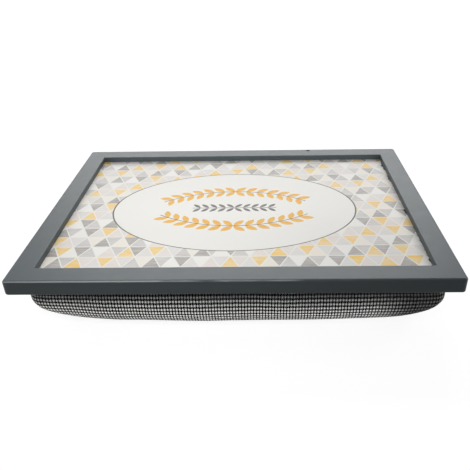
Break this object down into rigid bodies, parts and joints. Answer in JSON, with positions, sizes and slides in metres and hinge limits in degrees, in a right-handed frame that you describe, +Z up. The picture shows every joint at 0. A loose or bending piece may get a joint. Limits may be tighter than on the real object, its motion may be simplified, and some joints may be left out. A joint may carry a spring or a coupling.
{
  "type": "lap tray with cushion",
  "caption": "Lap tray: a mitred, painted wooden frame round a printed tray board that is sunk below its rim, over a bead cushion in small check cloth that rests on the lap.",
  "frame": {"origin": "bottom centre: on the surface that the cushion stands on, under the middle of the tray", "axes": "+X along the tray's long side to the user's right, +Y away from the user, +Z up"},
  "size_m": [0.44, 0.33, 0.072],
  "materials": {
    "frame_paint": "wood moulding sprayed in satin blue-grey paint",
    "tray_print": "printed paper under a clear semi-gloss laminate",
    "hardboard": "smooth brown hardboard",
    "fastener_steel": "bright rolled steel",
    "check_cloth": "plain-woven cotton in a small black and white check",
    "bag_cotton": "plain undyed cotton",
    "beads": "loose white polystyrene beads"
  },
  "bodies": {
    "root": {"frame_rail_front": "frame_paint", "frame_rail_back": "frame_paint", "frame_rail_left": "frame_paint", "frame_rail_right": "frame_paint", "corner_v_nails": "fastener_steel", "printed_laminate": "tray_print", "tray_board": "hardboard", "tray_board_points": "fastener_steel", "cushion_board": "hardboard", "cushion_points": "fastener_steel", "cushion_cover": "check_cloth", "cover_staples": "fastener_steel", "bead_bag": "bag_cotton", "bead_filling": "beads"}
  },
  "joints": []
}
